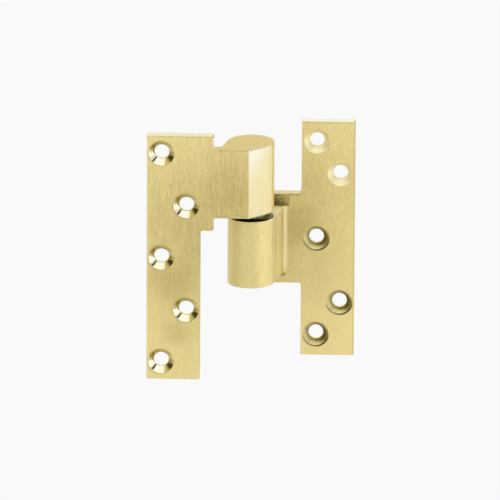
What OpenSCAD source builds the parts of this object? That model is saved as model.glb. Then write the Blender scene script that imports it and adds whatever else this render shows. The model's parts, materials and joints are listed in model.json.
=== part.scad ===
// Offset intermediate pivot hinge for a heavy door, opened by half a turn.
// Millimetres. +Z is up along the pivot axis and +Y points into the door frame.
// The origin is on the jamb leaf's back face, behind its middle screw hole.
// Each module works from the pivot axis, with Z = 0 on top of the lower knuckle,
// and to_frame() then moves it to that origin.

/* [Leaves] */
// Thickness of both leaves
leaf_t = 6; // [4.5:0.05:8]
// Width of the strip that takes the screws, on both leaves
strip_w = 28; // [23:0.1:36]
// Distance from the pivot axis to the near edge of both strips
strip_x = 25.6; // [21:0.1:32]
// Radius on the outer corners of both leaves
corner_r = 0.8; // [0.3:0.1:2.4]
// Radius in the inner corners of both leaves
notch_r = 1.2; // [0.3:0.1:2.4]

/* [Door leaf] */
// Height of the door leaf
door_h = 132.2; // [108:0.5:170]
// Height of its top edge above the upper knuckle
door_rise = 7.2; // [3:0.1:14]
// How far its wide part reaches below the upper knuckle
door_drop = 6.85; // [3:0.1:12]
// Distance from the pivot axis to its face, the side that the screws enter
door_face = 18.3; // [15:0.1:24]
// How far the edge of its wide part stands clear of the jamb leaf's neck when the door is shut
edge_room = 2.5; // [1:0.05:4]

/* [Jamb leaf] */
// Height of the jamb leaf
jamb_h = 127.6; // [105:0.2:165]
// Height of its middle above the middle of the lower knuckle
jamb_lift = 0.3; // [-3:0.1:3]
// Gap between the faces of the two leaves when the door is shut
face_gap = 1.6; // [1:0.1:4]
// How far its arm reaches above the lower knuckle
arm_above = 6.6; // [3:0.1:12]
// How far its arm reaches below the lower knuckle
arm_below = 6.1; // [3:0.1:12]
// Height of the cast pad above the neck over the machined face
pad_t = 0.5; // [0.2:0.05:0.7]

/* [Knuckles] */
// Diameter of both knuckles
knuckle_d = 24.2; // [20:0.1:29]
// Height of the upper knuckle
upper_h = 37; // [30:0.1:48]
// Height of the lower knuckle
lower_h = 36; // [30:0.1:48]
// Angle by which a neck widens towards its leaf
neck_taper = 11.5; // [4:0.5:14]
// Radius of the fillet where a neck runs out into its leaf
neck_fillet = 3; // [1:0.1:3.6]
// Distance from the pivot axis to the corner where a facet meets its leaf
facet_x = 0.5; // [0.1:0.1:3]

/* [Pivot] */
// Diameter of the pivot pin
pin_d = 9.5; // [7:0.1:11.5]
// Depth to which the pin is pressed into the lower knuckle
pin_seat = 27; // [18:0.5:29]
// How far the pin's end stands past the bush
pin_over = 1.3; // [0.5:0.1:3]
// Bevel on the ends of the pin
pin_bevel = 1; // [0.3:0.1:1.5]
// Bevel on the bush's upper end
bush_bevel = 0.5; // [0.2:0.1:0.8]
// Wall of the bush
bush_wall = 1.6; // [1:0.1:2.2]
// Length of the bush inside the upper knuckle
bush_l = 22; // [12:0.5:24]
// Width of the bush's flange around the bush
flange_w = 1.2; // [0.8:0.1:2]
// Thickness of the bush's flange
flange_t = 1.5; // [0.8:0.1:3]
// Thickness of the thrust washer
washer_t = 2; // [0.8:0.1:4]
// Height of the well above the pin's end
well_h = 2.4; // [1.5:0.1:4]

/* [Screw holes] */
// Diameter of the screw holes
screw_d = 7.8; // [5.5:0.1:8.5]
// Diameter of the countersinks
sink_d = 13.4; // [11:0.1:15]
// Angle of the countersinks
sink_angle = 82; // [82:1:90]
// Depth of the straight lip at a countersink's mouth
lip_t = 0.6; // [0.2:0.1:1]
// Distance from the near edge of the door leaf's strip to its inner column of holes
door_near = 7.3; // [7.2:0.1:10]
// Distance from the near edge of the jamb leaf's strip to its inner column of holes
jamb_near = 8; // [7.2:0.1:10]
// Distance from a strip's far edge to its outer column of holes
far_margin = 7.7; // [7.2:0.1:10]
// Distance from the door leaf's ends to its end holes
door_end = 9.65; // [8:0.05:14]
// Distance from the jamb leaf's ends to its end holes, on average
jamb_end = 11.2; // [9:0.1:14]
// Distance from the jamb leaf's ends to its holes of the outer column, on average
jamb_next = 28.8; // [25:0.1:34]
// How far all the jamb leaf's holes are shifted up from its middle
hole_lift = 0.4; // [-1:0.1:1]

/* [Clearances] */
// Radial running clearance between the pin and the bush
run_clear = 0.05; // [0.02:0.01:0.1]
// Radial clearance between the pin and the thrust washer
washer_clear = 0.15; // [0.05:0.05:0.3]
// Axial play between the bush's flange and the thrust washer
thrust_clear = 0.2; // [0.05:0.05:0.3]

/* [Hidden] */
$fn = 96;
// Overshoot of every cut past the surface that it opens
cut = 1;
// Overlap that roots an added shape in the metal beside it
root = 0.6;
// Angle at which a fillet runs into a slanted wall, because an exact tangent leaves slivers there
bite = 2;

// The washer, its play and the flange fill the space between the knuckles
knuckle_gap = washer_t + thrust_clear + flange_t;
knuckle_r = knuckle_d / 2;
upper_top = knuckle_gap + upper_h;
strip_far = strip_x + strip_w;
door_inner = strip_x + door_near;
jamb_inner = strip_x + jamb_near;
outer_x = strip_far - far_margin;

door_back = door_face - leaf_t;
door_top = upper_top + door_rise;
door_bottom = door_top - door_h;
door_mid = (door_top + door_bottom) / 2;
door_step = knuckle_gap - door_drop;
door_pitch = (door_h / 2 - door_end) / 2;

jamb_face = door_face + face_gap;
jamb_back = jamb_face + leaf_t;
jamb_mid = jamb_lift - lower_h / 2;
hole_mid = jamb_mid + hole_lift;
jamb_top = jamb_mid + jamb_h / 2;
jamb_bottom = jamb_mid - jamb_h / 2;
arm_bottom = -lower_h - arm_below;

bush_bore_d = pin_d + 2 * run_clear;
bush_d = bush_bore_d + 2 * bush_wall;
bearing_d = bush_d + 2 * flange_w;
bush_top = knuckle_gap + bush_l;
pin_top = bush_top + pin_over;
// The well is half a bush wall wider than the pin's running fit, so the bush seats on its rim
well_d = bush_bore_d + bush_wall;
cone_h = (sink_d - screw_d) / 2 / tan(sink_angle / 2);
// Height of a row of the jamb leaf's holes above the middle hole, for rows -2 to 2
function jamb_row(row) = sign(row) * (jamb_h / 2 - (abs(row) == 2 ? jamb_end : jamb_next));

// Point at a distance and an angle from the origin
function polar(r, a) = [r * cos(a), r * sin(a)];
// Where a line from p touches a circle of radius r around the origin, on its anticlockwise side
function touch(p, r) = polar(r, atan2(p.y, p.x) + acos(r / norm(p)));
// Where the straight wall of the lower neck leaves the knuckle
neck_touch = polar(knuckle_r, -neck_taper);
// X of that wall at a distance y behind the axis; the upper neck has the same wall turned half round
function neck_x(y) = neck_touch.x + (y - neck_touch.y) * tan(neck_taper);
// A neck's wall meets its leaf at this angle, measured in the open corner
neck_corner = 90 + neck_taper;
door_edge = neck_x(jamb_face) + edge_room;
// The door leaf's fillet may not pass the edge of its wide part
door_room = door_edge - notch_r - neck_x(door_back);
door_fillet = min(neck_fillet, door_room * tan(neck_corner / 2));
pad_x = neck_x(jamb_face) + neck_fillet / tan(neck_corner / 2);

module to_frame() translate([-jamb_inner, -jamb_back, -hole_mid]) children();

// What a radius takes off a square corner at the origin whose metal lies towards +X and +Y
module corner_waste(r) difference() {
    square(r);
    translate([r, r]) circle(r);
}

// The same at p, in the given quadrant: taken off an outer corner, or added to an inner one
module at_corner(p, quadrant, r) translate(p) rotate(90 * quadrant) corner_waste(r);

// Concave fillet in the open corner at p between the directions a and b
module plan_fillet(p, a, b, r) {
    half = (b - a) / 2;
    reach = r / tan(half);
    difference() {
        polygon([p + polar(reach, a), p - polar(root, a + half), p + polar(reach, b)]);
        translate(p + polar(r * cos(bite) / sin(half), a + half)) circle(r);
    }
}

// Stands an outline drawn in X and Z upright, as a leaf whose front is at y
module leaf_plate(y) translate([0, y + leaf_t, 0]) rotate([90, 0, 0]) linear_extrude(leaf_t) children();

// Countersunk hole, entered along +Y from a face at Y = 0
module screw_hole() rotate([-90, 0, 0]) {
    translate([0, 0, -cut]) cylinder(d = sink_d, h = lip_t + cut);
    translate([0, 0, lip_t]) cylinder(d1 = sink_d, d2 = screw_d, h = cone_h);
    cylinder(d = screw_d, h = leaf_t + cut);
}

// Outline of the door leaf in X and Z, with the arm that carries the upper knuckle
module door_outline() {
    difference() {
        union() {
            translate([-strip_far, door_bottom]) square([strip_w, door_h]);
            translate([-strip_x - root, door_step])
                square([strip_x + root - door_edge, door_top - door_step]);
            translate([-door_edge - root, knuckle_gap])
                square([door_edge + root - facet_x, upper_h]);
        }
        at_corner([-strip_far, door_bottom], 0, corner_r);
        at_corner([-strip_x, door_bottom], 1, corner_r);
        at_corner([-strip_far, door_top], 3, corner_r);
        at_corner([-door_edge, door_top], 2, corner_r);
        at_corner([-door_edge, door_step], 1, corner_r);
    }
    at_corner([-strip_x, door_step], 3, notch_r);
    at_corner([-door_edge, knuckle_gap], 3, notch_r);
    at_corner([-door_edge, upper_top], 0, notch_r);
}

// Plan of the upper knuckle, its neck, and its facet that ends on the door leaf's face
module upper_plan() {
    corner = [-facet_x, -door_face];
    wall = [-neck_x(door_back), -door_back];
    circle(knuckle_r);
    polygon([corner, touch(corner, knuckle_r), -neck_touch, wall, [wall.x, -door_face]]);
    plan_fillet(wall, 90 - neck_taper, 180, door_fillet);
}

module door_leaf() color([0.82, 0.72, 0.42]) to_frame() difference() {
    union() {
        leaf_plate(-door_face) door_outline();
        translate([0, 0, knuckle_gap]) linear_extrude(upper_h) upper_plan();
    }
    for (row = [-2 : 2])
        translate([row % 2 == 0 ? -outer_x : -door_inner, -door_face, door_mid + row * door_pitch])
            screw_hole();
    translate([0, 0, knuckle_gap - cut]) cylinder(d = bush_d, h = bush_l + cut);
    translate([0, 0, bush_top - cut]) cylinder(d = well_d, h = cut + pin_over + well_h);
}

// Outline of the jamb leaf in X and Z, with the arm that carries the lower knuckle
module jamb_outline() {
    difference() {
        union() {
            translate([strip_x, jamb_bottom]) square([strip_w, jamb_h]);
            translate([facet_x, arm_bottom]) square([strip_x + root - facet_x, arm_above - arm_bottom]);
        }
        at_corner([strip_x, jamb_bottom], 0, corner_r);
        at_corner([strip_far, jamb_bottom], 1, corner_r);
        at_corner([strip_far, jamb_top], 2, corner_r);
        at_corner([strip_x, jamb_top], 3, corner_r);
        at_corner([facet_x, arm_bottom], 0, corner_r);
        at_corner([facet_x, arm_above], 3, corner_r);
    }
    at_corner([strip_x, arm_bottom], 2, notch_r);
    at_corner([strip_x, arm_above], 1, notch_r);
}

// Plan of the lower knuckle, its neck, and its facet that ends on the jamb leaf's back
module lower_plan() {
    corner = [facet_x, jamb_back];
    wall = [neck_x(jamb_face), jamb_face];
    circle(knuckle_r);
    polygon([corner, touch(corner, knuckle_r), neck_touch, wall, [wall.x, jamb_back]]);
    plan_fillet(wall, 270 - neck_taper, 360, neck_fillet);
}

module jamb_leaf() color([0.82, 0.72, 0.42]) to_frame() difference() {
    union() {
        leaf_plate(jamb_face) jamb_outline();
        translate([0, 0, -lower_h]) linear_extrude(lower_h) lower_plan();
        // Cast skin above the neck, which the cutter that faces the leaf doesn't reach
        translate([facet_x + corner_r, jamb_face - pad_t, -root])
            cube([pad_x - facet_x - corner_r, pad_t + root, arm_above + root]);
    }
    for (row = [-2 : 2])
        translate([row % 2 == 0 ? jamb_inner : outer_x, jamb_face, hole_mid + jamb_row(row)])
            screw_hole();
    translate([0, 0, -pin_seat]) cylinder(d = pin_d, h = pin_seat + cut);
}

// Half the section of a round bar with bevelled ends, between the heights z0 and z1
module bar_section(d, z0, z1, bevel) polygon([
    [0, z0], [d / 2 - bevel, z0], [d / 2, z0 + bevel],
    [d / 2, z1 - bevel], [d / 2 - bevel, z1], [0, z1]
]);

module pivot_pin() color([0.72, 0.73, 0.74]) to_frame()
    rotate_extrude() bar_section(pin_d, -pin_seat, pin_top, pin_bevel);

module flanged_bush() color([0.66, 0.47, 0.25]) to_frame() difference() {
    union() {
        translate([0, 0, knuckle_gap - flange_t]) cylinder(d = bearing_d, h = flange_t);
        rotate_extrude() bar_section(bush_d, knuckle_gap - flange_t / 2, bush_top, bush_bevel);
    }
    translate([0, 0, knuckle_gap - flange_t - cut])
        cylinder(d = bush_bore_d, h = flange_t + bush_l + 2 * cut);
}

module thrust_washer() color([0.72, 0.55, 0.30]) to_frame() difference() {
    cylinder(d = bearing_d, h = washer_t);
    translate([0, 0, -cut]) cylinder(d = pin_d + 2 * washer_clear, h = washer_t + 2 * cut);
}

door_leaf();
jamb_leaf();
pivot_pin();
flanged_bush();
thrust_washer();
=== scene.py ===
"""Finish, edges and light for an offset intermediate pivot hinge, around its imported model.

Metres throughout. +Z is up along the pivot, +Y points into the door frame, and the
door leaf lies open towards -X.
"""
import json
import math

import bmesh
import bpy
from mathutils import Matrix, Vector


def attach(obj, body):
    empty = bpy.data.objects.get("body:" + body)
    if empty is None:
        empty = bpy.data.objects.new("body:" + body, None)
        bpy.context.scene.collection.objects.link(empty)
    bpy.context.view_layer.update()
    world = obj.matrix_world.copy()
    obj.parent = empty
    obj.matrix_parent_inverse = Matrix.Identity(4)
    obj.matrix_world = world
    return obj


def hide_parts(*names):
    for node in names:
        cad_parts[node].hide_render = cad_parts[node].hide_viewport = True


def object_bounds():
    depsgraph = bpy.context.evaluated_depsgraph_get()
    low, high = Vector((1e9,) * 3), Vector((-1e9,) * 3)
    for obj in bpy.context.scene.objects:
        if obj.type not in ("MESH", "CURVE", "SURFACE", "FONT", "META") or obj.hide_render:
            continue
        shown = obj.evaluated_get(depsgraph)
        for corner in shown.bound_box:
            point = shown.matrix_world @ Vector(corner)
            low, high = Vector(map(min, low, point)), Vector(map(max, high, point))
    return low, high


MM = 0.001

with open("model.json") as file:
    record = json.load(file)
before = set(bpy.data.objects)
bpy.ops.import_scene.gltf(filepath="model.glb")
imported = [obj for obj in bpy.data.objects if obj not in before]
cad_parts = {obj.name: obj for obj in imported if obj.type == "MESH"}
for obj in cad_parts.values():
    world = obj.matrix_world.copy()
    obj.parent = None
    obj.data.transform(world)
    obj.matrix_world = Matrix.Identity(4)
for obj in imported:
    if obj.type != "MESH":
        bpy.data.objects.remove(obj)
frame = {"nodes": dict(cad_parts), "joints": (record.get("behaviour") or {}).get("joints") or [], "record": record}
cad_low, cad_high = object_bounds()
record = frame["record"]
pivot = Vector(frame["joints"][0]["pos_m"])

# Camera: a long lens, a little to the right of the hinge and above it
VIEW_AZIMUTH = 2.3
VIEW_ELEVATION = 16.7
VIEW_ROLL = 0.345
VIEW_DISTANCE = 4.703
VIEW_LENS = 648
VIEW_OFFSET = Vector((-0.39, 0, -1.37)) * MM

# Stage: how far below the part its floor is and how wide, how white the page is, the
# floor's own grey, and how much of what the camera and gloss see of it is page white
FLOOR_DROP = 0.12
FLOOR_SIZE = 12
PAGE_WHITE = 0.95
FLOOR_GREY = 0.90
FLOOR_GLOW = 0.92

# The white tent, what its roof adds, and how dark its openings on the left and right are
TENT_LEVEL = 0.97
ROOF_GAIN = 0.33
LEFT_DARK, RIGHT_DARK = 0.88, 0.97

# The lamp on the right: its place, where it aims, its size and its face's radiance
LAMP_PLACE = (0.376, -0.139, -0.04)
LAMP_AIM = (-0.03, -0.03, -0.02)
LAMP_WIDTH, LAMP_HEIGHT = 0.60, 0.28
LAMP_RADIANCE = 0.50

# Broken edges of the castings and the turned parts
CAST_EDGE = 0.28 * MM
TURNED_EDGE = 0.15 * MM
SHARP_ANGLE = math.radians(30)

# The joint: knuckle radius, the gap between the knuckles, and the facet's outer corner,
# from the pivot
KNUCKLE_R = 12.1 * MM
JOINT_BOTTOM, JOINT_TOP = 17.3 * MM, 21.0 * MM
FACET_CORNER = Vector((-0.5, -18.3)) * MM

# The rough pad left as cast on the jamb leaf: right-hand edge, underside, top, which is
# the arm's top too, and face
PAD_RIGHT, PAD_BOTTOM, PAD_TOP = -14.75 * MM, 17.3 * MM, 23.9 * MM
PAD_FACE = -6.5 * MM

# The jamb leaf's front face, its top and its strip's left-hand edge, and the upper
# knuckle's top
JAMB_FACE = -6 * MM
JAMB_TOP = 63.4 * MM
JAMB_STRIP_LEFT = -8 * MM
KNUCKLE_TOP = 58 * MM

# Mouth of a countersink. The jamb leaf's lower ones are below the first height, and its
# upper ones above the second.
SINK_R = 6.7 * MM
LOWER_HOLES, UPPER_HOLES = 12 * MM, 20 * MM


# ---------------------------------------------------------------- shader maths


class Shade:
    """A socket in a node tree. Arithmetic on it adds Math nodes to that tree."""

    def __init__(self, tree, socket):
        self.tree = tree
        self.socket = socket

    def node(self, kind, settings=None, inputs=None, output=0):
        """Adds a node: its settings are set first, then its sockets get values or links."""
        made = self.tree.nodes.new(kind)
        for key, value in (settings or {}).items():
            if key == "stops":
                set_stops(made.color_ramp, value)
            else:
                setattr(made, key, value)
        for key, value in (inputs or {}).items():
            socket = made.inputs[key]
            if isinstance(value, Shade):
                self.tree.links.new(value.socket, socket)
            else:
                socket.default_value = value
        return Shade(self.tree, made.outputs[output] if made.outputs else None)

    def math(self, operation, *values):
        inputs = dict(enumerate(values))
        return self.node("ShaderNodeMath", {"operation": operation}, inputs)

    def __add__(self, other):
        return self.math("ADD", self, other)

    __radd__ = __add__

    def __sub__(self, other):
        return self.math("SUBTRACT", self, other)

    def __rsub__(self, other):
        return self.math("SUBTRACT", other, self)

    def __mul__(self, other):
        return self.math("MULTIPLY", self, other)

    __rmul__ = __mul__

    def __truediv__(self, other):
        return self.math("DIVIDE", self, other)

    def step(self, low, high):
        """0 below low, 1 above high and a smooth rise between them; low may be the larger."""
        settings = {"interpolation_type": "SMOOTHSTEP", "clamp": True}
        inputs = {"Value": self, "From Min": low, "From Max": high}
        return self.node("ShaderNodeMapRange", settings, inputs)

    def band(self, low, high, soft):
        """1 between low and high, and 0 outside, over soft edges."""
        return self.step(low - soft, low + soft) * self.step(high + soft, high - soft)

    def most(self, other):
        return self.math("MAXIMUM", self, other)

    def parts(self):
        """The x, y and z of a vector."""
        made = self.node("ShaderNodeSeparateXYZ", None, {0: self}).socket.node
        return [Shade(self.tree, out) for out in made.outputs]


def set_stops(ramp, stops):
    """Gives a colour ramp its stops, each a position and a colour."""
    while len(ramp.elements) < len(stops):
        ramp.elements.new(1.0)
    for element, (place, colour) in zip(ramp.elements, stops):
        element.position = place
        element.color = colour


def mix_colour(factor, low, high):
    """The colour low where factor is 0, and high where it is 1."""
    settings = {"data_type": "RGBA", "clamp_factor": True}
    inputs = {0: factor, 6: low, 7: high}
    return factor.node("ShaderNodeMix", settings, inputs, 2)


def scaled(place, across, along):
    """A place measured in grains that are across wide and along tall, in metres."""
    inputs = {0: place, 1: (1 / across, 1 / across, 1 / along)}
    return place.node("ShaderNodeVectorMath", {"operation": "MULTIPLY"}, inputs)


def noise(place, across, along, detail=2.0, rough=0.5):
    """Smooth noise about 0.5 with grains of that width and height."""
    inputs = {"Vector": scaled(place, across, along), "Scale": 1.0,
              "Detail": detail, "Roughness": rough}
    return place.node("ShaderNodeTexNoise", {"noise_dimensions": "3D"}, inputs)


def new_material(name):
    """An empty material's tree, the place on the object, and its Principled shader."""
    material = bpy.data.materials.new(name)
    material.use_nodes = True
    tree = material.node_tree
    tree.nodes.clear()
    start = Shade(tree, None)
    shader = start.node("ShaderNodeBsdfPrincipled")
    start.node("ShaderNodeOutputMaterial", None, {"Surface": shader})
    place = start.node("ShaderNodeTexCoord", output=3)
    return material, place, shader.socket.node


def wire(shader, **values):
    """Sets or links a Principled shader's sockets, named with _ for a space."""
    for key, value in values.items():
        socket = shader.inputs[key.replace("_", " ")]
        if isinstance(value, Shade):
            value.tree.links.new(value.socket, socket)
        else:
            socket.default_value = value


# ---------------------------------------------------------------- screw holes


def hole_centres(leaf):
    """X and Z of the screw holes of one leaf, each once, from the record's line patterns."""
    centres = set()
    for mount in record["mounts"]:
        if mount["kind"] == "bolt_pattern" and mount["name"].startswith(leaf):
            half = mount["dims"]["spacing_y_mm"] * MM / 2
            x, z = mount["pos_m"][0], mount["pos_m"][2]
            centres |= {(round(x, 6), round(z - half, 6)), (round(x, 6), round(z + half, 6))}
    return sorted(centres)


def distance_to(place, centres):
    """Distance in X and Z to the nearest of the centres."""
    flat = place.node("ShaderNodeVectorMath", {"operation": "MULTIPLY"}, {0: place, 1: (1, 0, 1)})
    nearest = None
    for x, z in centres:
        away = flat.node("ShaderNodeVectorMath", {"operation": "DISTANCE"}, {0: flat, 1: (x, 0, z)}, 1)
        nearest = away if nearest is None else nearest.math("MINIMUM", nearest, away)
    return nearest


def distance_off_axis(place):
    """Distance from the pivot's axis."""
    flat = place.node("ShaderNodeVectorMath", {"operation": "MULTIPLY"}, {0: place, 1: (1, 1, 0)})
    axis = (pivot.x, pivot.y, 0)
    return flat.node("ShaderNodeVectorMath", {"operation": "DISTANCE"}, {0: flat, 1: axis}, 1)


# ---------------------------------------------------------------- finishes

# Ground brass, from its dark streaks to its light ones, and its pits
BRASS_DARK = (0.53, 0.42, 0.15, 1)
BRASS_LIGHT = (0.93, 0.78, 0.35, 1)
BRASS_PIT = (0.20, 0.14, 0.04, 1)
# Thin dark lines that run raggedly under the upper arrises
RAGGED_LINE = (0.26, 0.19, 0.06, 1)
RAGGED_LIP = (0.24, 0.17, 0.05, 1)

# Lower knuckle: its streaks, and the painted highlights in strips along its sides
KNUCKLE_DARK = (0.73, 0.625, 0.25, 1)
KNUCKLE_LIGHT = (0.92, 0.81, 0.38, 1)
LOWER_KNUCKLE_HIGHLIGHT = (0.98, 0.88, 0.50, 1)

# The faces that meet in the joint: painted shade, and bronze
JOINT_PAINTED_SHADE = (0.004, 0.003, 0.001, 1)
BRONZE_PAINTED_SHADE = (0.015, 0.010, 0.004, 1)
BRONZE_LIGHT = (0.84, 0.69, 0.235, 1)

# Door leaf
FACET_TAN = (0.65, 0.565, 0.275, 1)
# Painted highlights: the facet's pale upper left, and the knuckle's right flank
FACET_HIGHLIGHT = (0.76, 0.74, 0.66, 1)
FLANK_HIGHLIGHT = (0.86, 0.79, 0.49, 1)
# Painted highlights on the door leaf's top edge and left edge
DOOR_TOP_HIGHLIGHT = (0.84, 0.77, 0.49, 1)
DOOR_LEFT_HIGHLIGHT = (0.96, 0.90, 0.64, 1)
KNUCKLE_TOP_DARK = (0.67, 0.53, 0.165, 1)
KNUCKLE_TOP_LIGHT = (0.70, 0.565, 0.19, 1)
# Painted highlight on the rim at the back of the knuckle's top
BACK_RIM_HIGHLIGHT = (0.90, 0.84, 0.56, 1)
# Painted highlight on the side of the notch above the knuckle
NOTCH_HIGHLIGHT = (0.94, 0.87, 0.60, 1)
# Door countersinks: a painted highlight on their lower part and painted shade on their upper part
DOOR_SINK_PAINTED_HIGHLIGHT = (0.80, 0.75, 0.56, 1)
DOOR_SINK_PAINTED_SHADE = (0.60, 0.52, 0.25, 1)
# Painted reflection and shade in the door's countersinks: olive, a dark arc and a dark outline
DOOR_SINK_OLIVE = (0.46, 0.37, 0.10, 1)
DOOR_SINK_ARC = (0.25, 0.19, 0.05, 1)
DOOR_SINK_OUTLINE = (0.36, 0.28, 0.09, 1)

# Jamb leaf
# Jamb countersinks: a painted highlight on their lower part
JAMB_SINK_PAINTED_HIGHLIGHT = (0.93, 0.85, 0.53, 1)
JAMB_SINK_HIGH = (0.85, 0.74, 0.38, 1)
# Painted shade in the jamb's lower countersinks, from its light end to its dark end
LOWER_SINK_LIGHT = (0.82, 0.72, 0.36, 1)
LOWER_SINK_SHADE = (0.21, 0.165, 0.04, 1)
SINK_LIP = (0.10, 0.065, 0.012, 1)
# Painted highlight on the jamb leaf's top edge
JAMB_TOP_HIGHLIGHT = (0.90, 0.85, 0.63, 1)
ARM_TOP_EDGE = (0.72, 0.625, 0.265, 1)
JAMB_RIGHT_EDGE = (0.42, 0.35, 0.12, 1)
NECK_DARK = (0.75, 0.65, 0.31, 1)
NECK_LIGHT = (0.95, 0.86, 0.51, 1)
# Painted highlights on the neck's root and its top rim
ROOT_DARK = (0.80, 0.70, 0.38, 1)
ROOT_LIGHT = (0.96, 0.88, 0.58, 1)
NECK_TOP_HIGHLIGHT = (1.0, 0.96, 0.76, 1)
# Painted shade in the corner under the neck's bottom
NECK_CORNER_SHADE = (0.20, 0.14, 0.035, 1)
# Painted highlight on the shelf, in dark and light streaks
SHELF_HIGHLIGHT_DARK = (0.86, 0.73, 0.32, 1)
SHELF_HIGHLIGHT_LIGHT = (1.0, 0.95, 0.56, 1)
# The cast crust, dark also as painted shade, and painted shade in the pad's corner
CRUST_DARK_AND_SHADE = (0.10, 0.070, 0.014, 1)
CAST_LIGHT = (0.82, 0.68, 0.24, 1)
SHADE_IN_PAD_CORNER = (0.22, 0.16, 0.05, 1)

# Broken edges, worn and paler also as a painted highlight, and the pin
ARRIS_DARK = (0.80, 0.68, 0.34, 1)
ARRIS_LIGHT = (0.95, 0.90, 0.68, 1)
ARRIS_RIM_DARK = (0.09, 0.06, 0.012, 1)
STEEL_DARK = (0.42, 0.42, 0.42, 1)
STEEL_LIGHT = (0.62, 0.62, 0.61, 1)

# X and Z of the pits and of the painted shade in the neck's corner, and X, Z, radius and strength of the smudges
DOOR_PITS = [(-0.0400, 0.0228), (-0.0743, 0.0386), (-0.0764, 0.0336), (-0.0488, 0.0576),
             (-0.0530, 0.0607), (-0.0523, 0.0588)]
DOOR_SMUDGES = [(-0.074, -0.014, 0.016, 0.25), (-0.073, -0.042, 0.010, 0.25),
                (-0.046, 0.036, 0.017, 0.15)]
JAMB_PITS = [(0.0029, 0.0185)]
JAMB_SMUDGES = [(-0.009, 0.006, 0.016, 0.25)]
NECK_SHADE_PLACES = [(-0.0180, -0.0206), (-0.0168, -0.0201)]

# Painted reflection: the faces are painted darkest at this place, in X and Z, and brighter towards the outer ends,
# for the dark reflection of what stands in front
REFLECTION_DARKEST_AT = (-0.036, 0.010)


def relief(place, height):
    """A surface normal for that height, in metres."""
    inputs = {"Strength": 1.0, "Distance": 1.0, "Height": height}
    return place.node("ShaderNodeBump", None, inputs)


def ragged_mask(place, across, low):
    """A mask that breaks a line into uneven dashes; a lower low leaves more of the line."""
    return noise(place, across, 0.6 * MM, 3.0, 0.7).step(low, 0.56)


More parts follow.
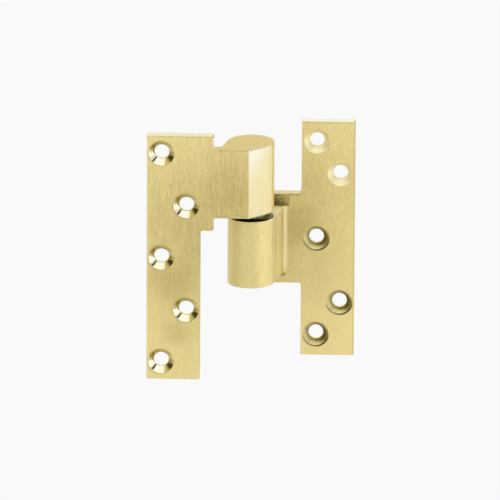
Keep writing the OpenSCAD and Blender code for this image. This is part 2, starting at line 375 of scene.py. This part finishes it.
class Brass:
    """Cast brass, belt-ground upright: fine streaks, soft clouds of tone and a few small pits.

    The outer ends are rubbed brighter than the middle, the countersinks are cut bright, and
    As a painted reflection the middle is darker and the outer ends brighter, the countersinks are cut
    bright with a painted highlight low in them, and the faces that meet in the joint are painted near black as
    painted shade.
    """

    def __init__(self, leaf, face, sink_low, sink_high, sink_rough, pits, smudges):
        self.material, self.place, self.shader = new_material(leaf + "_brass")
        self.x, self.y, self.z = self.place.parts()
        self.depth = self.y - face
        self.fine = noise(self.place, 0.25 * MM, 2.6 * MM, 3.0, 0.7)
        self.broad = noise(self.place, 0.4 * MM, 9 * MM, 2.0)
        self.grain = noise(self.place, 0.35 * MM, 0.5 * MM, 2.0, 0.7)
        self.grind(pits, smudges)
        self.cut_sinks(hole_centres(leaf), sink_low, sink_high, sink_rough)
        self.streak_lower_knuckle()
        self.shade_joint_ends()

    def lay(self, mask, colour, rough, metal=None):
        """Lays a colour and a roughness over the ones below, where the mask is 1."""
        self.colour = mix_colour(mask, self.colour, colour)
        self.rough = self.rough + mask * (rough - self.rough)
        if metal is not None:
            self.metal = self.metal + mask * (metal - self.metal)

    def grind(self, pits, smudges):
        """Streaks, clouds, smudges, specks and pits on the ground faces, and a painted reflection."""
        place, x, z = self.place, self.x, self.z
        cloud = noise(place, 14 * MM, 24 * MM, 2.0)
        # Painted reflection: darker round one place, brighter towards the outer ends and the upper left
        painted_reflection = distance_to(place, [REFLECTION_DARKEST_AT]).step(16 * MM, 84 * MM)
        painted_reflection = painted_reflection + 0.3 * z.step(36 * MM, 58 * MM) * x.step(-44 * MM, -60 * MM)
        coarse = 0.38 + 0.52 * z.step(-35 * MM, 30 * MM)
        streaks = 1.8 * (self.fine - 0.5) + 0.9 * (self.broad - 0.5) + 0.5 * (self.grain - 0.5)
        tone = 0.29 + 0.52 * painted_reflection + 0.4 * (cloud - 0.5) + coarse * streaks
        for smudge_x, smudge_z, radius, strength in smudges:
            away = distance_to(place, [(smudge_x, smudge_z)])
            tone = tone - (away.step(radius, 0.2 * radius) * (0.4 + 1.2 * self.fine)) * strength
        self.colour = mix_colour(tone, BRASS_DARK, BRASS_LIGHT)
        self.rough = 0.36 + 0.3 * (self.fine - 0.5) + 0.2 * (cloud - 0.5)
        speck = noise(place, 0.35 * MM, 0.8 * MM, 1.0).step(0.70, 0.78)
        self.pitted = distance_to(place, pits).step(0.42 * MM, 0.2 * MM)
        self.pitted = self.pitted * self.depth.step(1.0 * MM, 0.5 * MM)
        self.lay((speck * 0.5).most(self.pitted), BRASS_PIT, 0.5)

    def cut_sinks(self, centres, low, high, rough):
        """The countersinks, cut bright, with the low colour on their lower part as a painted highlight and the
        high colour on their upper part.

        Keeps their mask, the distance to the nearest one's axis, and how far above that axis
        and to its right a place is.
        """
        place = self.place
        in_front = self.depth.step(3.95 * MM, 3.9 * MM)
        self.around = distance_to(place, centres)
        self.sink = self.around.step(SINK_R + 0.06 * MM, SINK_R - 0.06 * MM) * in_front
        near = [distance_to(place, [centre]).step(SINK_R + 1.1 * MM, SINK_R + MM)
                for centre in centres]
        self.rise = sum(mask * (self.z - centre[1]) for mask, centre in zip(near, centres))
        self.aside = sum(mask * (self.x - centre[0]) for mask, centre in zip(near, centres))
        # Painted light: the low colour on the countersinks' lower part, the high colour on their upper part
        self.lay(self.sink, mix_colour(self.rise.step(0.5 * MM, 4.5 * MM), low, high), rough)
        marks = self.fine * 0.010 + self.broad * 0.012 + self.grain * 0.006 - self.pitted * 0.08
        self.height = (1 - self.sink) * marks * MM
        self.height = self.height + 0.27 * (SINK_R - self.around).most(0.0) * in_front
        self.metal = 0.88 + 0.12 * self.sink

    def streak_lower_knuckle(self):
        """Softer streaks on the lower knuckle, and painted highlights in strips where it turns away."""
        knuckle = distance_off_axis(self.place).step(KNUCKLE_R + 0.1 * MM, KNUCKLE_R)
        below = self.z.step(JOINT_BOTTOM, JOINT_BOTTOM - 1 * MM)
        streaks = 0.5 + 1.6 * (self.broad - 0.5) + 1.4 * (self.fine - 0.5)
        self.lay(0.6 * knuckle * below, mix_colour(streaks, KNUCKLE_DARK, KNUCKLE_LIGHT), 0.50, 0.5)
        # Painted highlights: pale strips on the knuckle's right, left and inner sides
        right = self.x.band(pivot.x + 11.5 * MM, pivot.x + 12.7 * MM, 0.2 * MM)
        right = right * self.y.band(-28 * MM, -9 * MM, 1 * MM)
        left = 0.6 * knuckle * self.x.step(pivot.x - 9.0 * MM, pivot.x - 11.0 * MM)
        inner = 0.45 * knuckle * self.x.band(pivot.x + 10.3 * MM, pivot.x + 11.5 * MM, 0.3 * MM)
        self.lay(right.most(left).most(inner) * below * 0.6, LOWER_KNUCKLE_HIGHLIGHT, 0.55, 0.35)

    def shade_joint_ends(self):
        """Painted shade on the knuckles' ends in the gap: near black, with bronze-coloured specks on the right,
        except at the front.
        """
        off_axis = distance_off_axis(self.place)
        between = self.z.band(JOINT_BOTTOM - 0.1 * MM, JOINT_TOP + 0.1 * MM, 0.05 * MM)
        bronze_specks = noise(self.place, 0.6 * MM, 0.5 * MM, 3.0, 0.7).step(0.40, 0.60)
        bronze_specks = bronze_specks * off_axis.step(11.4 * MM, 10.8 * MM)
        bronze_specks = bronze_specks * self.x.step(pivot.x - 1 * MM, pivot.x + 4 * MM)
        bronze_specks = bronze_specks * self.y.step(pivot.y - 6.8 * MM, pivot.y - 5.8 * MM)
        # Painted shade: the ends in the gap are near black
        ends = between * off_axis.step(KNUCKLE_R - 0.15 * MM, KNUCKLE_R - 0.5 * MM)
        self.lay(ends, mix_colour(bronze_specks, JOINT_PAINTED_SHADE, BRONZE_LIGHT), 0.7)

    def paint_top_highlight(self, top, colour):
        """A painted highlight on the leaf's narrow top edge."""
        self.lay(self.z.step(top - 0.25 * MM, top - 0.1 * MM), colour, 0.3, 0.65)

    def finish(self):
        normal = relief(self.place, self.height)
        wire(self.shader, Base_Color=self.colour, Metallic=self.metal, Roughness=self.rough,
             Normal=normal)
        return self.material


def paint_facet_highlight(brass):
    """The facet beside the upper knuckle, banded, with a painted highlight paler at its top and upper left, and a
    painted highlight on the right flank.

    Returns the facet's mask.
    """
    x, y, z = brass.x, brass.y, brass.z
    # The facet's plane touches the knuckle and runs through its outer corner
    turn = math.atan2(FACET_CORNER.y, FACET_CORNER.x) + math.acos(KNUCKLE_R / FACET_CORNER.length)
    off = (x - pivot.x) * math.cos(turn) + (y - pivot.y) * math.sin(turn)
    across = (y - pivot.y) * math.cos(turn) - (x - pivot.x) * math.sin(turn)
    facet = off.step(KNUCKLE_R - 0.25 * MM, KNUCKLE_R - 0.1 * MM)
    bands = noise(brass.place, 0.8 * MM, 18 * MM, 3.0, 0.7)
    # Painted highlight: paler towards the upper left and the top
    pale = across.step(2 * MM, -14 * MM) * z.step(34 * MM, 56 * MM)
    pale = pale + 0.40 * z.step(48 * MM, 57 * MM)
    sheen = mix_colour(0.15 + 0.50 * pale + 0.9 * (bands - 0.5), FACET_TAN, FACET_HIGHLIGHT)
    brass.lay(facet, sheen, 0.30)
    # Painted highlight on the knuckle's right flank
    flank = x.step(pivot.x + 8.6 * MM, pivot.x + 9.0 * MM)
    flank = flank * y.step(pivot.y + 6 * MM, pivot.y - 2 * MM)
    brass.lay(flank * (1 - facet) * 0.9, FLANK_HIGHLIGHT, 0.34)
    return facet


def plain_knuckle_top(brass):
    """The upper knuckle's turned top: a soft swirl, and a painted highlight on the rim at its back."""
    x, y, z = brass.x, brass.y, brass.z
    top = z.band(KNUCKLE_TOP - 0.05 * MM, KNUCKLE_TOP + 0.05 * MM, 0.05 * MM)
    top = top * x.step(-60 * MM, -55 * MM)
    swirl = noise(brass.place, 5 * MM, 5 * MM, 4.0, 0.65)
    shade = 0.5 + 2.2 * (swirl - 0.5) + 25.0 * (x - pivot.x)
    brass.lay(top, mix_colour(shade, KNUCKLE_TOP_DARK, KNUCKLE_TOP_LIGHT), 0.4)
    # Painted highlight on the rim at the back
    rear = distance_off_axis(brass.place).step(KNUCKLE_R - 1.3 * MM, KNUCKLE_R - 0.6 * MM)
    rear = rear * y.step(pivot.y, pivot.y + 4 * MM)
    brass.lay(top * rear * 0.55, BACK_RIM_HIGHLIGHT, 0.35)


def shade_door_sinks(brass):
    """Painted reflection and shade in the countersinks: olive at their lower right, a dark arc at their upper
    left, a dark line on their left.
    """
    olive = brass.aside.step(0.8 * MM, 2.4 * MM) * brass.rise.step(2.0 * MM, -0.5 * MM)
    brass.lay(brass.sink * olive, DOOR_SINK_OLIVE, 0.10)
    arc = brass.around.band(5.2 * MM, 6.2 * MM, 0.3 * MM) * brass.aside.step(1.0 * MM, -2.5 * MM)
    arc = arc * brass.rise.step(-1.5 * MM, 1.0 * MM)
    brass.lay(brass.sink * arc * 0.6, DOOR_SINK_ARC, 0.2)
    outline = brass.around.band(SINK_R + 0.25 * MM, SINK_R + 0.65 * MM, 0.15 * MM)
    outline = outline * brass.y.step(cad_low.y + 0.2 * MM, cad_low.y + 0.1 * MM)
    brass.lay(outline * brass.aside.step(4 * MM, -5 * MM) * 0.5, DOOR_SINK_OUTLINE, 0.5)


def door_finish():
    """The door leaf: painted highlights on its facet, top edge and left edge, and a plainer top on the knuckle."""
    brass = Brass("door", cad_low.y, DOOR_SINK_PAINTED_HIGHLIGHT, DOOR_SINK_PAINTED_SHADE, 0.08, DOOR_PITS, DOOR_SMUDGES)
    x, y, z = brass.x, brass.y, brass.z
    ragged = ragged_mask(brass.place, 0.9 * MM, 0.42)
    facet = paint_facet_highlight(brass)
    brass.paint_top_highlight(cad_high.z, DOOR_TOP_HIGHLIGHT)
    plain_knuckle_top(brass)
    front = y.step(pivot.y + 2 * MM, pivot.y - 4 * MM) * x.step(-49.5 * MM, -47.5 * MM)
    lip = z.band(KNUCKLE_TOP - 0.65 * MM, KNUCKLE_TOP - 0.1 * MM, 0.12 * MM) * front
    brass.lay(lip * ragged * (0.45 + 0.35 * facet), RAGGED_LIP, 0.5)
    # Painted highlight: a pale line down the leaf's left edge
    left = x.step(cad_low.x + 0.75 * MM, cad_low.x + 0.45 * MM)
    brass.lay(left * 0.4, DOOR_LEFT_HIGHLIGHT, 0.35, 0.6)
    shade_door_sinks(brass)
    # Painted highlight: the notch's side is painted pale
    notch = x.band(-53.1 * MM, -52.4 * MM, 0.1 * MM) * z.step(58.5 * MM, 59.5 * MM)
    brass.lay(notch * 0.7, NOTCH_HIGHLIGHT, 0.4, 0.3)
    ridge = z.band(cad_high.z - 0.9 * MM, cad_high.z - 0.35 * MM, 0.12 * MM) * ragged
    brass.lay(ridge * 0.35, RAGGED_LINE, 0.5)
    return brass.finish()


def shade_lower_sinks(brass):
    """The lower countersinks, specked, with painted shade darker towards the hole and to the lower right, and a
    dark lip; the upper ones less metallic.
    """
    lower = brass.z.step(UPPER_HOLES, LOWER_HOLES)
    # Painted shade: darker towards the hole and to the lower right
    deep = brass.around.step(6.2 * MM, 3.9 * MM)
    lean = 0.45 + 0.6 * brass.aside.step(-4 * MM, 3 * MM) - 0.3 * brass.rise.step(1 * MM, 5 * MM)
    side = brass.aside.step(1 * MM, 6 * MM) * brass.rise.step(5 * MM, -1 * MM)
    specks = noise(brass.place, 0.35 * MM, 0.45 * MM, 2.0, 0.8)
    shade = 1.3 * (deep * lean + 0.5 * side) + 0.08 + 1.4 * (specks - 0.5)
    brass.lay(brass.sink * lower, mix_colour(shade, LOWER_SINK_LIGHT, LOWER_SINK_SHADE), 0.5)
    brass.metal = brass.metal - 0.4 * (brass.sink * brass.z.step(LOWER_HOLES, UPPER_HOLES))
    lip = brass.around.band(SINK_R - 0.2 * MM, SINK_R + 0.50 * MM, 0.08 * MM)
    lip = lip * brass.y.step(JAMB_FACE + 0.8 * MM, JAMB_FACE + 0.7 * MM)
    lip = lip * lower * brass.rise.step(1.0 * MM, -3.5 * MM)
    brass.lay(lip * (0.6 + 0.4 * brass.aside.step(-3 * MM, 3 * MM)), SINK_LIP, 0.7, 0.3)


def line_jamb_edges(brass):
    """A painted highlight on the top edge, the arm's top edge, ragged lines under them and a darker right-hand
    edge.
    """
    x, z = brass.x, brass.z
    brass.paint_top_highlight(JAMB_TOP, JAMB_TOP_HIGHLIGHT)
    arm_top = z.band(PAD_TOP - 0.05 * MM, PAD_TOP + 0.1 * MM, 0.03 * MM)
    brass.lay(arm_top * x.step(JAMB_STRIP_LEFT, JAMB_STRIP_LEFT - 0.1 * MM), ARM_TOP_EDGE, 0.3, 0.7)
    under = z.band(PAD_TOP - 0.9 * MM, PAD_TOP - 0.15 * MM, 0.12 * MM)
    under = 0.85 * under * x.step(JAMB_STRIP_LEFT + 0.5 * MM, JAMB_STRIP_LEFT - 0.5 * MM)
    brow = 0.5 * z.band(JAMB_TOP - 0.8 * MM, JAMB_TOP - 0.3 * MM, 0.12 * MM)
    brass.lay(ragged_mask(brass.place, 1.2 * MM, 0.40) * under.most(brow), RAGGED_LINE, 0.5)
    edge = x.step(cad_high.x - 0.85 * MM, cad_high.x - 0.45 * MM)
    brass.lay(edge * 0.35, JAMB_RIGHT_EDGE, 0.5)


def streak_neck(brass):
    """The neck: streaks on its side, painted highlights on its root and top rim, painted shade in the corner under
    it, and its shelf painted pale as a painted highlight.
    """
    x, y, z = brass.x, brass.y, brass.z
    streak = noise(brass.place, 0.35 * MM, 11 * MM, 3.0, 0.6)
    side = z.step(JOINT_BOTTOM + 0.1 * MM, JOINT_BOTTOM - 0.1 * MM)
    neck = x.band(-23 * MM, -17.8 * MM, 1.0 * MM) * y.band(-23 * MM, -7 * MM, 1.0 * MM)
    tone = mix_colour(0.5 + 2.6 * (streak - 0.5), NECK_DARK, NECK_LIGHT)
    brass.lay(neck * side, tone, 0.45, 0.55)
    # Painted highlight: a pale band along the neck's root
    root = x.band(-17.7 * MM, -15.0 * MM, 0.4 * MM) * y.band(-9.5 * MM, -5.9 * MM, 0.3 * MM)
    root = root * z.step(-19.5 * MM, -14 * MM) * side
    brass.lay(root * 0.45, mix_colour(streak.step(0.4, 0.6), ROOT_DARK, ROOT_LIGHT), 0.40, 0.65)
    # Painted highlight on the neck's top rim
    rim = z.band(JOINT_BOTTOM - 0.55 * MM, JOINT_BOTTOM - 0.05 * MM, 0.12 * MM)
    rim = rim * x.band(-24 * MM, -17.6 * MM, 0.5 * MM)
    brass.lay(rim * y.step(JAMB_FACE - 0.2 * MM, JAMB_FACE - 0.6 * MM), NECK_TOP_HIGHLIGHT, 0.3, 0.5)
    # Painted shade in the corner under the neck's bottom
    corner_shade = distance_to(brass.place, NECK_SHADE_PLACES).step(1.0 * MM, 0.5 * MM)
    corner_shade = corner_shade * noise(brass.place, 0.7 * MM, 0.5 * MM, 2.0).step(0.34, 0.52)
    corner_shade = corner_shade * y.step(JAMB_FACE + 0.6 * MM, JAMB_FACE + 0.2 * MM)
    brass.lay(corner_shade * 0.75, NECK_CORNER_SHADE, 0.6, 0.6)
    # Painted highlight: the shelf is painted pale, in streaks
    shelf = distance_off_axis(brass.place).step(KNUCKLE_R - 0.3 * MM, KNUCKLE_R + 0.2 * MM)
    shelf = shelf * y.band(-25 * MM, -6.7 * MM, 0.1 * MM)
    shelf = shelf * z.band(JOINT_BOTTOM - 0.1 * MM, JOINT_BOTTOM + 0.1 * MM, 0.1 * MM)
    brass.lay(shelf, mix_colour(streak.step(0.38, 0.62), SHELF_HIGHLIGHT_DARK, SHELF_HIGHLIGHT_LIGHT), 0.7, 0.35)


def leave_pad_rough(brass):
    """The pad left as cast: a dark crust, paler towards its upper right and darker towards the knuckle as painted
    shade, and painted shade in its corner.
    """
    x, y, z = brass.x, brass.y, brass.z
    pad = x.step(PAD_RIGHT + 0.05 * MM, PAD_RIGHT - 0.1 * MM) * z.band(PAD_BOTTOM, PAD_TOP, 0.1 * MM)
    pad = pad * y.step(PAD_FACE - 0.3 * MM, PAD_FACE - 0.1 * MM)
    pad = pad * y.step(PAD_FACE + 0.7 * MM, PAD_FACE + 0.4 * MM)
    crust = noise(brass.place, 0.6 * MM, 0.5 * MM, 4.0, 0.7)
    # Painted shade: the crust is darker towards the lower left, beside the knuckle
    lean = 0.02 + 60.0 * (x - PAD_RIGHT + 5 * MM) + 85.0 * (z - PAD_BOTTOM)
    brass.lay(pad, mix_colour(lean + 4.5 * (crust - 0.5), CRUST_DARK_AND_SHADE, CAST_LIGHT), 0.65, 0.7)
    # Painted shade in the corner at the pad's right-hand edge
    corner = x.band(PAD_RIGHT - 0.1 * MM, PAD_RIGHT + 0.3 * MM, 0.1 * MM)
    corner = corner * z.band(PAD_BOTTOM, PAD_TOP - 0.3 * MM, 0.2 * MM)
    corner = corner * y.step(JAMB_FACE + 0.6 * MM, JAMB_FACE + 0.2 * MM)
    brass.lay(corner * 0.6, SHADE_IN_PAD_CORNER, 0.6)
    brass.height = brass.height + pad * crust * 0.4 * MM


def jamb_finish():
    """The jamb leaf: lower countersinks with painted shade and a dark lip, and a rough pad left as cast, with
    painted shade.
    """
    brass = Brass("jamb", JAMB_FACE, JAMB_SINK_PAINTED_HIGHLIGHT, JAMB_SINK_HIGH, 0.46, JAMB_PITS, JAMB_SMUDGES)
    shade_lower_sinks(brass)
    line_jamb_edges(brass)
    streak_neck(brass)
    leave_pad_rough(brass)
    return brass.finish()


def arris_wear_and_highlight():
    """The broken edges, worn bright and paler also as a painted highlight, and darker in the rims of the jamb's
    lower countersinks.
    """
    material, place, shader = new_material("arris_wear_and_highlight")
    wear = noise(place, 0.8 * MM, 2.5 * MM, 3.0, 0.6)
    # Painted highlight: the worn edges are painted pale
    colour = mix_colour(0.5 + 2.0 * (wear - 0.5), ARRIS_DARK, ARRIS_LIGHT)
    nicks = noise(place, 0.7 * MM, 0.7 * MM, 2.0).step(0.60, 0.66)
    colour = mix_colour(nicks * 0.7, colour, BRASS_PIT)
    # The rims are darker away from a circle that is moved to the upper left, so at the lower right
    low = [centre for centre in hole_centres("jamb") if centre[1] < LOWER_HOLES]
    rim = distance_to(place, low).band(SINK_R - 0.3 * MM, SINK_R + 0.5 * MM, 0.1 * MM)
    away = distance_to(place, [(x - 1.5 * MM, z + 3 * MM) for x, z in low])
    rim_dark = rim * away.step(SINK_R, SINK_R + 2.5 * MM)
    rim_dark = rim_dark * place.parts()[1].step(JAMB_FACE + 2 * MM, JAMB_FACE + 1 * MM)
    colour = mix_colour(rim_dark * 0.9, colour, ARRIS_RIM_DARK)
    rough = 0.25 + 0.2 * wear + 0.3 * rim_dark
    wire(shader, Base_Color=colour, Metallic=0.6 - 0.4 * rim_dark, Roughness=rough,
         Normal=relief(place, wear * 0.02 * MM))
    return material


def ground_steel(name):
    """Centreless-ground steel pin."""
    material, place, shader = new_material(name)
    fine = noise(place, 1.5 * MM, 0.12 * MM, 2.0)
    wire(shader, Base_Color=mix_colour(fine, STEEL_DARK, STEEL_LIGHT), Metallic=1.0,
         Roughness=0.24 + 0.1 * fine, Normal=relief(place, fine * 0.004 * MM))
    return material


def bronze_in_painted_shade(name):
    """Turned bearing bronze, painted near black as painted shade, with bronze-coloured spots on its right and its
    back.
    """
    material, place, shader = new_material(name)
    ring = noise(place, 2.0 * MM, 0.1 * MM, 2.0)
    blotch = noise(place, 0.9 * MM, 0.7 * MM, 3.0, 0.7)
    x, y, z = place.parts()
    # Painted shade: near black except in spots on the right, higher up, and at the back
    right = x.step(pivot.x - 1 * MM, pivot.x + 3 * MM) * (0.35 + 0.65 * z.step(17.5 * MM, 18.4 * MM))
    unshaded = right.most(y.step(pivot.y, pivot.y + 4 * MM)) * blotch.step(0.36, 0.58)
    wire(shader, Base_Color=mix_colour(unshaded, BRONZE_PAINTED_SHADE, BRONZE_LIGHT), Metallic=1.0,
         Roughness=0.42 + 0.2 * blotch, Normal=relief(place, (ring * 0.02 + blotch * 0.1) * MM))
    return material


# ---------------------------------------------------------------- pieces


def broken_edges(node, body, edge, material, arris=None):
    """A merged copy of a CAD node with its arrises broken, which stands for the node.

    The broken edges take the arris finish, if there is one.
    """
    source = frame["nodes"][node]
    mesh = source.data.copy()
    piece = bpy.data.objects.new(node + "_finished", mesh)
    bpy.context.scene.collection.objects.link(piece)
    shell = bmesh.new()
    shell.from_mesh(mesh)
    bmesh.ops.remove_doubles(shell, verts=shell.verts, dist=0.001 * MM)
    bmesh.ops.dissolve_limit(shell, angle_limit=math.radians(0.3), verts=shell.verts, edges=shell.edges)
    shell.to_mesh(mesh)
    shell.free()
    mesh.shade_smooth()
    mesh.set_sharp_from_angle(angle=SHARP_ANGLE)
    bevel = piece.modifiers.new("broken edges", "BEVEL")
    bevel.width = edge
    bevel.segments = 3
    bevel.limit_method = "ANGLE"
    bevel.angle_limit = SHARP_ANGLE
    bevel.harden_normals = True
    mesh.materials.clear()
    mesh.materials.append(material)
    if arris:
        mesh.materials.append(arris)
        bevel.material = 1
    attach(piece, body)
    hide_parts(node)


# ---------------------------------------------------------------- stage


def page_floor():
    """Pale floor that shows its shadow faintly and is page white to the camera and in gloss."""
    material = bpy.data.materials.new("pale_floor")
    material.use_nodes = True
    tree = material.node_tree
    tree.nodes.clear()
    start = Shade(tree, None)
    made = start.node("ShaderNodeLightPath").socket.node
    camera, glossy, clear = (Shade(tree, made.outputs[key]) for key in
                             ("Is Camera Ray", "Is Glossy Ray", "Is Transmission Ray"))
    seen = camera.most(glossy).most(clear)
    grey = start.node("ShaderNodeBsdfDiffuse", None, {"Color": (FLOOR_GREY,) * 3 + (1,)})
    white = start.node("ShaderNodeEmission", None, {"Color": (PAGE_WHITE,) * 3 + (1,), "Strength": 1.0})
    mixed = start.node("ShaderNodeMixShader", None, {0: seen * FLOOR_GLOW, 1: grey, 2: white})
    start.node("ShaderNodeOutputMaterial", None, {"Surface": mixed})

    half = FLOOR_SIZE / 2
    height = cad_low.z - FLOOR_DROP
    mesh = bpy.data.meshes.new("floor")
    corners = [(-half, -half, height), (half, -half, height), (half, half, height), (-half, half, height)]
    mesh.from_pydata(corners, [], [(0, 1, 2, 3)])
    mesh.materials.append(material)
    floor = bpy.data.objects.new("floor", mesh)
    bpy.context.scene.collection.objects.link(floor)


def studio_world():
    """A white tent with a bright roof, and a dark opening on the left and high on the right."""
    world = bpy.data.worlds.new("studio")
    bpy.context.scene.world = world
    world.use_nodes = True
    tree = world.node_tree
    tree.nodes.clear()
    start = Shade(tree, None)
    x, _, z = start.node("ShaderNodeTexCoord").parts()
    roof = z.step(0.64, 0.68)
    left = x.step(-0.64, -0.74) * z.step(-0.02, 0.04) * z.step(0.60, 0.40)
    right = x.step(0.36, 0.50) * z.band(0.42, 0.58, 0.02)
    level = (TENT_LEVEL + ROOF_GAIN * roof) * (1 - LEFT_DARK * left) * (1 - RIGHT_DARK * right)
    camera = start.node("ShaderNodeLightPath")
    level = level + camera * (PAGE_WHITE - level)
    sky = start.node("ShaderNodeBackground", None, {"Color": (1, 1, 1, 1), "Strength": level})
    start.node("ShaderNodeOutputWorld", None, {"Surface": sky})


def panel(name, place, aim, width, height, radiance):
    """A soft rectangular lamp at place that faces aim; its radiance is that of its face."""
    data = bpy.data.lights.new(name, "AREA")
    data.shape = "RECTANGLE"
    data.size = width
    data.size_y = height
    data.energy = radiance * math.pi * width * height
    lamp = bpy.data.objects.new(name, data)
    bpy.context.scene.collection.objects.link(lamp)
    lamp.location = place
    lamp.rotation_mode = "QUATERNION"
    lamp.rotation_quaternion = (Vector(aim) - Vector(place)).to_track_quat("-Z", "Y")
    lamp.visible_camera = False


def make_camera():
    """The camera on its sphere round the pivot."""
    a, e = math.radians(VIEW_AZIMUTH), math.radians(VIEW_ELEVATION)
    back = Vector((math.sin(a) * math.cos(e), -math.cos(a) * math.cos(e), math.sin(e)))
    turn = (-back).to_track_quat("-Z", "Y").to_matrix().to_4x4()
    data = bpy.data.cameras.new("camera")
    data.lens = VIEW_LENS
    data.sensor_width = 36
    data.clip_start = 0.1
    data.clip_end = 100
    camera = bpy.data.objects.new("camera", data)
    bpy.context.scene.collection.objects.link(camera)
    roll = Matrix.Rotation(math.radians(VIEW_ROLL), 4, "Z")
    camera.matrix_world = Matrix.Translation(pivot + VIEW_OFFSET + back * VIEW_DISTANCE) @ turn @ roll
    bpy.context.scene.camera = camera


# ---------------------------------------------------------------- the scene

make_camera()
page_floor()
studio_world()
panel("right_panel", LAMP_PLACE, LAMP_AIM, LAMP_WIDTH, LAMP_HEIGHT, LAMP_RADIANCE)

arris = arris_wear_and_highlight()
broken_edges("door_leaf", "door", CAST_EDGE, door_finish(), arris)
broken_edges("jamb_leaf", "jamb", CAST_EDGE, jamb_finish(), arris)
broken_edges("pivot_pin", "jamb", TURNED_EDGE, ground_steel("pin_steel"))
bronze = bronze_in_painted_shade("bearing_bronze")
broken_edges("flanged_bush", "door", TURNED_EDGE, bronze)
broken_edges("thrust_washer", "jamb", TURNED_EDGE, bronze)

bpy.context.scene.view_settings.view_transform = "Standard"
